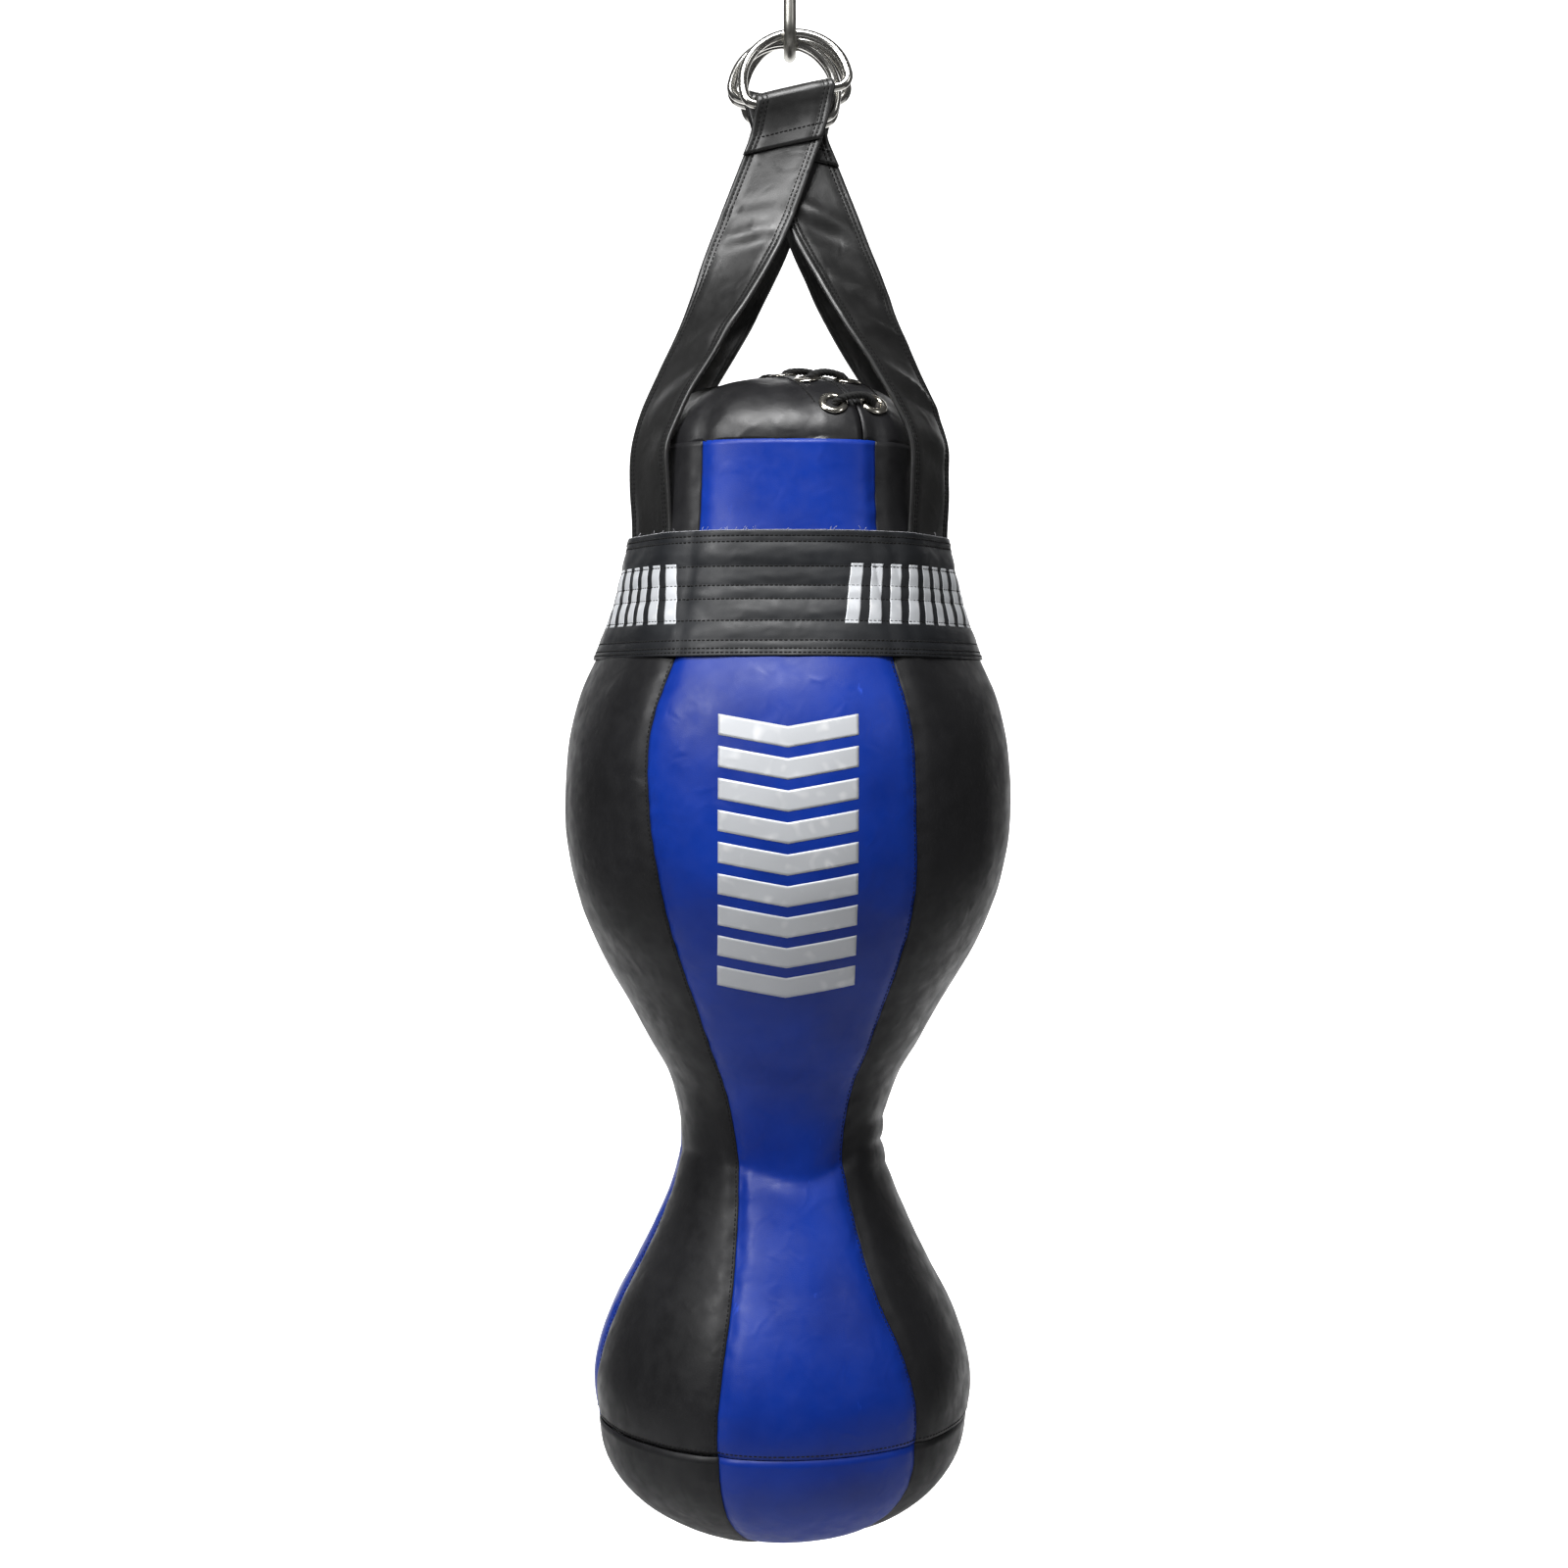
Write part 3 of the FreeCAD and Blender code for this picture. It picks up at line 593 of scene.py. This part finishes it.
def fold_lift(name, share, height):
    """Ridges across the strap, each with a hollow beside it."""
    lift = 0.0
    for place, slant, depth, size, side in STRAP_FOLDS[name]:
        gap = height - place - slant * share * STRAP_WIDTH / 2
        lift += depth * math.exp(-(gap / size) ** 2) * math.exp(-((share - side) / 0.62) ** 2)
        hollow = math.exp(-((gap + size * 1.7) / size) ** 2)
        lift -= 0.6 * depth * hollow * math.exp(-((share - side) / 0.55) ** 2)
    return lift


def strap_surface(name, station, share, face=1):
    """A point of the strap's outer face, or of its inner one if face is -1; share runs from -1 to 1."""
    middle, across, outward, sort = station
    thick = STRAP_THICKNESS / 2 * (0.6 if sort == "tail" else 1)
    ease = math.sqrt(max(0.0, 1 - abs(share) ** 26))
    lift = (thick + face_relief(share) * (1 if face > 0 else 0.4)) * ease
    body = 0.0
    if sort == "main":
        body = fold_lift(name, share, middle.z) * min(1, max(0, (-0.25 - middle.z) / 0.03))
        body += 0.0012 * noise.noise(Vector((share * 1.5, middle.z / 0.045, len(name))))
    return middle + across * (share * STRAP_WIDTH / 2) + outward * (body + face * lift)


def make_strap(name):
    """One strap looped round its ring's bar, with its rows of stitches."""
    stations = strap_line(name)
    rings = []
    for station in stations:
        ring = [strap_surface(name, station, share) for share in SECTION]
        ring += [strap_surface(name, station, share, -1) for share in SECTION[-2:0:-1]]
        rings.append(ring)
    strap = mesh_object(f"strap_{name}", *ring_grid(rings), "strap")
    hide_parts(f"strap_{name}")
    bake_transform(strap)
    lumps = []
    main = [station for station in stations if station[3] == "main" and station[0].z > -0.66]
    tail = [station for station in stations if station[3] != "main"]
    for inset in STITCH_INSETS:
        for side in (-1, 1):
            share = side * (1 - inset / (STRAP_WIDTH / 2))
            for run in (main, tail):
                points = [strap_surface(name, station, share) for station in run]
                lumps += stitch_row(points, [station[2] for station in run])
    station = stations[-5]
    points = [strap_surface(name, station, -0.9 + 1.8 * step / 30) for step in range(31)]
    lumps += stitch_row(points, [station[2]] * 31)
    threads = joined(f"strap_threads_{name}", lumps, "thread")
    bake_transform(threads)


# ------------------------------------------------------------------ waist band
BAND_ROWS = [-0.6565, -0.6625, -0.687, -0.706, -0.7195, -0.741, -0.7605, -0.7685, -0.7725]
STRAP_AZIMUTHS, STRAP_BUMP = (60, -60, 120, -120), 0.0060
BAND_CREASES = ((-30, 0.0020), (33, 0.0018), (-38, 0.0009))  # azimuth and depth


def band_point(azimuth, height, lift=0.0):
    """The belt's outer face: over the strap ends, quilted between its rows of stitches."""
    base = skin_point(azimuth, height, 0, True)
    centre = Vector((lean_at(height)[0], 0, height))
    outward = (base - centre).normalized()
    down = (BAND_TOP - height) / (BAND_TOP - BAND_LOW)
    stand = 0.0070 * (1 - down) + 0.0036 * down
    for place in STRAP_AZIMUTHS:
        off = abs(off_by(azimuth, place))
        stand += STRAP_BUMP * (1 - down ** 3) / (1 + math.exp((off - 20) / 2.0))
    for place, depth in BAND_CREASES:
        off = abs(off_by(azimuth, place + 18 * (height + 0.71)))
        stand -= depth * math.exp(-off / 1.6)
    rows = [BAND_TOP, *BAND_ROWS, BAND_LOW]
    for upper, lower in zip(rows, rows[1:]):
        if lower <= height <= upper:
            part = (upper - height) / (upper - lower)
            stand += 0.054 * (upper - lower) * math.sin(math.pi * part) ** 0.8
            break
    at = (math.sin(math.radians(azimuth)) * 0.17, math.cos(math.radians(azimuth)) * 0.17, height * 2)
    stand += 0.0012 * ripple(at, 0.06, 5) + 0.0004 * ripple(at, 0.015, 6)
    return base + outward * (stand + lift)


def make_band():
    """The quilted belt, its rows of stitches, and the pale raw edge and loose threads along its top."""
    heights = [BAND_TOP + (BAND_LOW - BAND_TOP) * step / 84 for step in range(85)]
    angles = [step * 1.5 for step in range(240)]
    outer = [[band_point(angle, height) for angle in angles] for height in heights]
    inner = [[band_point(angle, height, -0.0026) for angle in angles] for height in reversed(heights)]
    band = mesh_object("waist_band", *ring_grid(outer + inner, close_rows=True), "band")
    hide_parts("waist_band")
    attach(band, "bag")
    lumps = []
    for height in BAND_ROWS:
        points = [band_point(angle * 2, height) for angle in range(181)]
        normals = [Vector((point.x, point.y, 0)).normalized() for point in points]
        lumps += stitch_row(points, normals, 0.0001)
    threads = joined("band_threads", lumps, "thread")
    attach(threads, "bag")
    frays = []
    for _ in range(170):
        angle = random.uniform(0, 360)
        start = band_point(angle, BAND_TOP - 0.0006, random.uniform(-0.0022, -0.0002))
        reach = random.choice((0.0006, 0.0009, 0.0014, 0.0045)) * random.uniform(0.7, 1.3)
        aside = Vector((random.uniform(-1, 1), random.uniform(-1, 1), 0)) * reach * 0.7
        line = [start, start + Vector((0, 0, reach * 0.5)) + aside * 0.3,
                start + Vector((0, 0, reach * 0.8)) + aside]
        frays.append(ring_grid(tube(line, 0.00020, 4)))
    edge = [band_point(angle, BAND_TOP - 0.0001, -0.0012 + 0.0004 * math.sin(angle * 1.7))
            for angle in range(360)]
    frays.append(ring_grid(tube(edge, 0.0005, 5, True), close_rows=True))
    fray = joined("band_frays", frays, "fray")
    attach(fray, "bag")


# ------------------------------------------------------------------ laced lid
LID_RISE, LID_THICKNESS, SLIT_AZIMUTH, SLIT_GAP = 0.078, 0.0026, -28.0, 0.0007
EYELET_STEP, EYELET_OFFSET, EYELET_COUNT = 0.054, 0.023, 6
EYELET_ALONG = [(number - (EYELET_COUNT - 1) / 2) * EYELET_STEP for number in range(EYELET_COUNT)]
FORWARD = Vector((-math.sin(math.radians(SLIT_AZIMUTH)), -math.cos(math.radians(SLIT_AZIMUTH)), 0))
ACROSS = Vector((math.cos(math.radians(SLIT_AZIMUTH)), -math.sin(math.radians(SLIT_AZIMUTH)), 0))


def lid_point(flat):
    """The lid over a plan position: a puffed dome, creased towards its seam and hemmed at the slit."""
    azimuth = math.degrees(math.atan2(-flat.x, -flat.y))
    seam = skin_point(azimuth, LID_SEAM)
    reach = Vector((seam.x, seam.y, 0)).length
    share = min(1.0, flat.length / reach)
    height = LID_SEAM + LID_RISE * math.sqrt(max(0.0, 1 - share ** 2.6))
    off, along = flat.dot(ACROSS), flat.dot(FORWARD)
    fall = math.exp(-(abs(off) / 0.010) ** 2) * 0.004
    tug = sum(math.exp(-((along - place) / 0.012) ** 2) for place in EYELET_ALONG)
    hem = 0.0012 if abs(off) < 0.042 else 0.0
    height += hem - fall * (0.4 + 0.6 * tug) * (1 - share ** 4)
    fold = noise.noise(Vector((azimuth / 16, share * 1.4, 3.0)))
    height += 0.0035 * fold * math.sin(math.pi * share ** 2)
    height += 0.0014 * ripple((flat.x, flat.y, 0), 0.03, 14)
    return Vector((flat.x, flat.y, height))


def lid_normal(flat):
    """The lid's upward normal over a plan position."""
    east = lid_point(flat + Vector((0.004, 0, 0))) - lid_point(flat - Vector((0.004, 0, 0)))
    north = lid_point(flat + Vector((0, 0.004, 0))) - lid_point(flat - Vector((0, 0.004, 0)))
    return east.cross(north).normalized()


def make_flaps():
    """The two halves of the lid, their rims tucked under the seam, and the stitches along the slit."""
    rows, columns = 44, 72
    for side, name in ((1, "right"), (-1, "left")):
        vertices = []
        for row in range(rows + 1):
            share = min(1.0, math.sin(row / (rows - 1) * math.pi / 2)) if row < rows else 1.0
            for column in range(columns + 1):
                seam = skin_point(SLIT_AZIMUTH - side * 180 * column / columns, LID_SEAM)
                flat = Vector((seam.x, seam.y, 0)) * share
                off = flat.dot(ACROSS)
                flat += ACROSS * (side * math.hypot(off, SLIT_GAP) - off)
                vertices.append(lid_point(flat) if row < rows else
                                Vector((flat.x * 0.965, flat.y * 0.965, LID_SEAM - 0.007)))
        flap = mesh_object(f"top_flap_{name}", vertices, sheet_faces(rows, columns), "lid")
        thicken(flap, LID_THICKNESS)
        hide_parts(f"top_flap_{name}")
        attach(flap, "bag")
    lumps = []
    for side in (-1, 1):
        for inset in (0.006, 0.040):
            flats = [FORWARD * (-0.128 + 0.256 * step / 80) + ACROSS * side * inset for step in range(81)]
            lumps += stitch_row([lid_point(flat) for flat in flats], [lid_normal(flat) for flat in flats])
    threads = joined("lid_threads", lumps, "thread")
    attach(threads, "bag")


def make_eyelets():
    """Rolled metal grommets along both sides of the slit."""
    profile = [(0.0074, -0.004), (0.0072, 0.0004), (0.0080, 0.0019), (0.0098, 0.0026), (0.0124, 0.0021),
               (0.0143, 0.0010), (0.0149, 0.0), (0.0140, -0.0004), (0.0090, 0.0003), (0.0081, -0.004)]
    for side, name in ((1, "right"), (-1, "left")):
        lumps = []
        for along in EYELET_ALONG:
            flat = FORWARD * along + ACROSS * side * EYELET_OFFSET
            normal = lid_normal(flat)
            seat = lid_point(flat) + normal * 0.0006
            turn = normal.to_track_quat("Z", "Y").to_matrix()
            rings = []
            for step in range(36):
                angle = 2 * math.pi * step / 36
                rings.append([seat + turn @ Vector((radius * math.cos(angle), radius * math.sin(angle),
                                                    height)) for radius, height in profile])
            lumps.append(ring_grid(rings, close_rows=True))
        eyelets = joined(f"eyelets_{name}", lumps, "nickel")
        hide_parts(f"eyelets_{name}")
        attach(eyelets, "bag")


def make_lace():
    """A three-strand rope: over the slit between each pair of eyelets, then under the flaps."""
    knots = []
    for along in reversed(EYELET_ALONG):
        for offset, lift, shift in ((-EYELET_OFFSET, -0.010, 0), (-EYELET_OFFSET + 0.001, 0.004, 0),
                                    (-0.010, 0.0085, 0.002), (0.010, 0.0085, -0.002),
                                    (EYELET_OFFSET - 0.001, 0.004, 0), (EYELET_OFFSET, -0.010, 0)):
            flat = FORWARD * (along + shift) + ACROSS * offset
            knots.append(lid_point(flat) + lid_normal(flat) * lift)
        if along != EYELET_ALONG[0]:
            for part, offset in ((12, 0.009), (34, -0.009)):
                flat = FORWARD * (along - part / 1000) + ACROSS * offset
                knots.append(lid_point(flat) - Vector((0, 0, 0.015)))
    curve = bpy.data.curves.new("lace_route", "CURVE")
    curve.dimensions = "3D"
    spline = curve.splines.new("NURBS")
    spline.points.add(len(knots) - 1)
    for point, knot in zip(spline.points, knots):
        point.co = (*knot, 1)
    spline.order_u = 3
    spline.use_endpoint_u = True
    curve.resolution_u = 12
    route = bpy.data.objects.new("lace_route", curve)
    bpy.context.collection.objects.link(route)
    mesh = bpy.data.meshes.new_from_object(route.evaluated_get(bpy.context.evaluated_depsgraph_get()))
    line = [vertex.co.copy() for vertex in mesh.vertices]
    bpy.data.objects.remove(route)
    frames, side, travelled = [], None, 0.0
    for number, point in enumerate(line):
        along = (line[min(number + 1, len(line) - 1)] - line[max(number - 1, 0)]).normalized()
        side = along.orthogonal() if side is None else side
        side = (side - along * side.dot(along)).normalized()
        travelled += (point - line[number - 1]).length if number else 0
        frames.append((point, side.copy(), along.cross(side), travelled))
    lumps = []
    for strand in range(3):
        points = []
        for point, side, other, run in frames:
            angle = 2 * math.pi * (strand / 3 + run / 0.015)
            points.append(point + (side * math.cos(angle) + other * math.sin(angle)) * 0.0019)
        lumps.append(ring_grid(tube(points, 0.0021, 8)))
    lace = joined("lace", lumps, "rope")
    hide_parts("lace")
    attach(lace, "bag")


# ------------------------------------------------------------------ prints
PRINT_THICKNESS = 0.0002


def decal(surface, outline, columns, rows):
    """A thin printed patch: outline(u, v) gives azimuth and height for u and v from 0 to 1."""
    vertices = []
    for row in range(rows + 1):
        for column in range(columns + 1):
            azimuth, height = outline(column / columns, row / rows)
            vertices.append(surface(azimuth, height, PRINT_THICKNESS))
    return vertices, sheet_faces(rows, columns)


def make_prints():
    """Plain chevrons down the front panel and slanted bars on the belt."""
    lumps = []
    top, low, count, share, half_width, point = -0.832, -1.108, 9, 0.66, 0.068, 0.012
    pitch = (top - low) / count
    for number in range(count):
        start = top - pitch * number

        def chevron(across, down, start=start):
            side = across * 2 - 1
            height = start - point + point * abs(side) - pitch * share * down
            return -side * half_width / bottom_radius(height) * DEGREES, height
        lumps.append(decal(skin_point, chevron, 40, 8))
    front = joined("front_print", lumps, "paint")
    lumps = []
    for side, first, count in ((1, 35, 8), (-1, 17, 10)):
        for number in range(count):
            start = first + 7.2 * number

            def slash(across, down, start=start, side=side):
                return side * (start + 4.2 * across + 4.0 * (1 - down)), -0.684 - 0.060 * down
            lumps.append(decal(band_point, slash, 10, 40))
    belt = joined("band_print", lumps, "paint")
    for piece, slot in ((front, "panel_blue"), (belt, "band_black")):
        thicken(piece, PRINT_THICKNESS)
        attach(piece, "bag")


# ------------------------------------------------------------------ inside, metal and stage
def make_inside():
    """The foam liner and the filling, which the skin is tight over."""
    for name, inset, slot in (("foam_liner", 0.011, "foam"), ("filling", 0.026, "textile_fill")):
        top = LID_SEAM - 0.010
        heights = [top + (BOTTOM + inset - top) * step / 90 for step in range(91)]
        rings = [[skin_point(angle * 10, height, -min(inset, bottom_radius(height) * 0.6), True)
                  for angle in range(36)] for height in heights]
        lump = mesh_object(name, *ring_grid(rings), "fray")
        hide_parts(name)
        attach(lump, "bag")


def dress_metal():
    """Materials for the CAD nodes that are shown as they are."""
    wear = {"link_frame": "steel", "link_gate": "steel", "gate_pin": "steel", "lace_tongue": "lid"}
    wear.update({f"d_ring_{name}": "chrome" for name in BARS})
    for name, material in wear.items():
        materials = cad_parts[name].data.materials
        materials.clear()
        materials.append(MATERIALS[material])


def area_light(name, place, aim, size, power):
    data = bpy.data.lights.new(name, "AREA")
    data.shape = "RECTANGLE"
    data.size, data.size_y = size
    data.energy = power
    lamp = bpy.data.objects.new(name, data)
    bpy.context.collection.objects.link(lamp)
    lamp.location = place
    lamp.rotation_euler = (Vector(aim) - Vector(place)).to_track_quat("-Z", "Y").to_euler()


def plain_sheet(name, line, reach, shade, glow):
    """A pale smooth sheet along a line of (y, z) points, as far as reach to both sides."""
    vertices = [(x, y, z) for x in (-reach, reach) for y, z in line]
    count = len(line)
    faces = [(number, number + 1, count + number + 1, count + number) for number in range(count - 1)]
    sheet = mesh_object(name, vertices, faces, "paint")
    material, nodes, links, shader = new_material(name)
    grain = nodes.new("ShaderNodeTexNoise")
    grain.inputs["Scale"].default_value = 2
    tone = ramp(nodes, [(0.3, (shade - 0.02,) * 3), (0.7, (shade + 0.02,) * 3)])
    links.new(grain.outputs["Fac"], tone.inputs["Fac"])
    links.new(tone.outputs["Color"], shader.inputs["Base Color"])
    if glow:
        links.new(tone.outputs["Color"], shader.inputs["Emission Color"])
        shader.inputs["Emission Strength"].default_value = glow
    shader.inputs["Roughness"].default_value = 0.9
    sheet.data.materials.clear()
    sheet.data.materials.append(material)
    return sheet


def make_stage():
    """A pale floor and a plain bright backdrop behind it, with soft studio lights."""
    floor, near, depth, bend = -2.25, 1.3, 3.2, 1.2
    line = [(near, floor), (depth - bend, floor)]
    for step in range(1, 13):
        turn = step * math.pi / 24
        line.append((depth - bend + bend * math.sin(turn), floor + bend - bend * math.cos(turn)))
    line.append((depth, 2.0))
    plain_sheet("backdrop", line, 2.4, 0.9, 1.15)
    plain_sheet("floor", [(-near, floor), (near, floor)], 2.4, 0.7, 0)
    area_light("overhead", (-0.3, -1.6, 1.9), (0, 0, -0.95), (1.6, 1.0), 104)
    area_light("left_window", (-1.9, -1.9, 0.8), (0, 0, -0.8), (0.8, 1.0), 50)
    area_light("right_window", (2.2, -1.8, 0.6), (0, 0, -0.9), (0.5, 1.2), 7)
    world = bpy.data.worlds.new("studio")
    bpy.context.scene.world = world
    world.use_nodes = True
    world.node_tree.nodes["Background"].inputs["Color"].default_value = (1, 1, 1, 1)
    world.node_tree.nodes["Background"].inputs["Strength"].default_value = 0.07
    bpy.context.scene.view_settings.view_transform = "Standard"


make_camera()
make_skin()
make_seam_threads()
for strap in BARS:
    make_strap(strap)
make_band()
make_flaps()
make_eyelets()
make_lace()
make_prints()
make_inside()
dress_metal()
make_stage()
bpy.context.view_layer.update()
